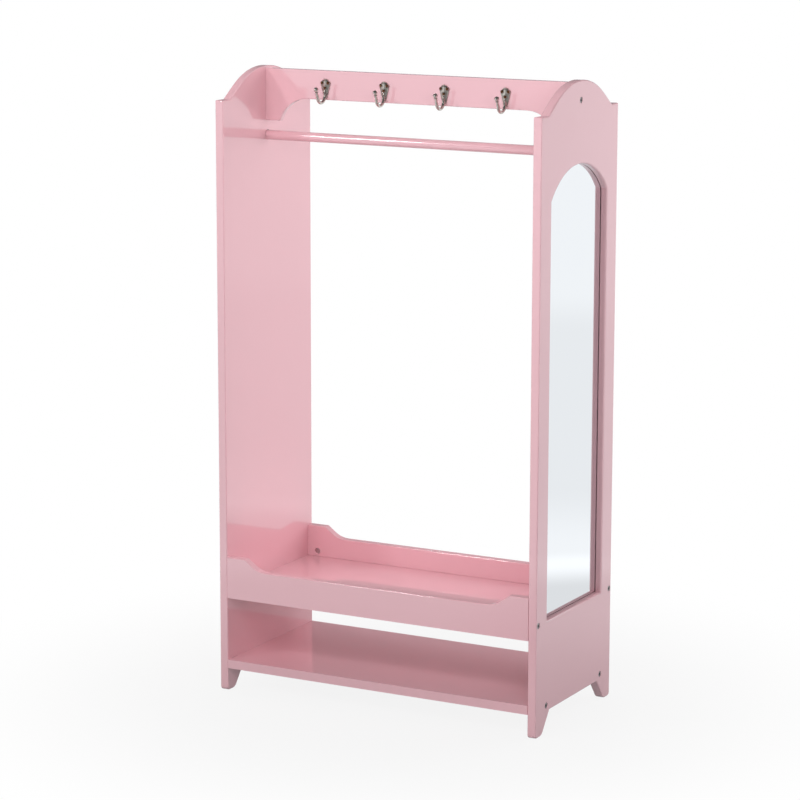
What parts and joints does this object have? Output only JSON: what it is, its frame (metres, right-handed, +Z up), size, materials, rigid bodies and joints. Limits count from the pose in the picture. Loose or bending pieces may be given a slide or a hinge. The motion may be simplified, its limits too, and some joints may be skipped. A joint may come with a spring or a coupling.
{
  "type": "dress up storage unit with mirror",
  "caption": "Child's open wardrobe stand: arched side panels, hook rail, hanging rod, railed tray, bottom shelf and an arched mirror in one side.",
  "frame": {"origin": "on the floor, in the middle of the stand's footprint", "axes": "+Z up, +Y towards the back, +X towards the panel with the mirror"},
  "size_m": [0.6, 0.29, 1.06],
  "materials": {
    "pink_lacquer": "smooth satin lacquer over board",
    "backing_paint": "matt paint over hardboard",
    "mirror_glass": "polished mirror",
    "hook_metal": "cast, plated antique nickel",
    "bronzed_screw": "bronzed, dark",
    "zinc_screw": "zinc plated",
    "bolt_steel": "dark plated",
    "nut_zinc": "zinc plated",
    "dowel_beech": "bare turned beech"
  },
  "bodies": {
    "stand": {"side_panel_left": "pink_lacquer", "side_panel_right": "pink_lacquer", "hook_rail": "pink_lacquer", "tray_front_rail": "pink_lacquer", "tray_back_rail": "pink_lacquer", "tray_board": "pink_lacquer", "bottom_shelf": "pink_lacquer", "mirror_sheet": "mirror_glass", "mirror_backing": "backing_paint", "mirror_backing_screws": "zinc_screw", "hook_1": "hook_metal", "hook_2": "hook_metal", "hook_3": "hook_metal", "hook_4": "hook_metal", "hook_screws": "bronzed_screw", "rail_bolts": "bolt_steel", "tray_bolts": "bolt_steel", "shelf_bolts": "bolt_steel", "rail_nuts": "nut_zinc", "tray_nuts": "nut_zinc", "shelf_nuts": "nut_zinc", "rail_dowels": "dowel_beech", "tray_dowels": "dowel_beech", "shelf_dowels": "dowel_beech"},
    "rod": {"hanging_rod": "pink_lacquer"}
  },
  "joints": [
    {"name": "rod_turn", "type": "hinge", "parent": "stand", "child": "rod", "pos_m": [0, 0, 0.9425], "axis": [1, 0, 0], "continuous": true}
  ]
}
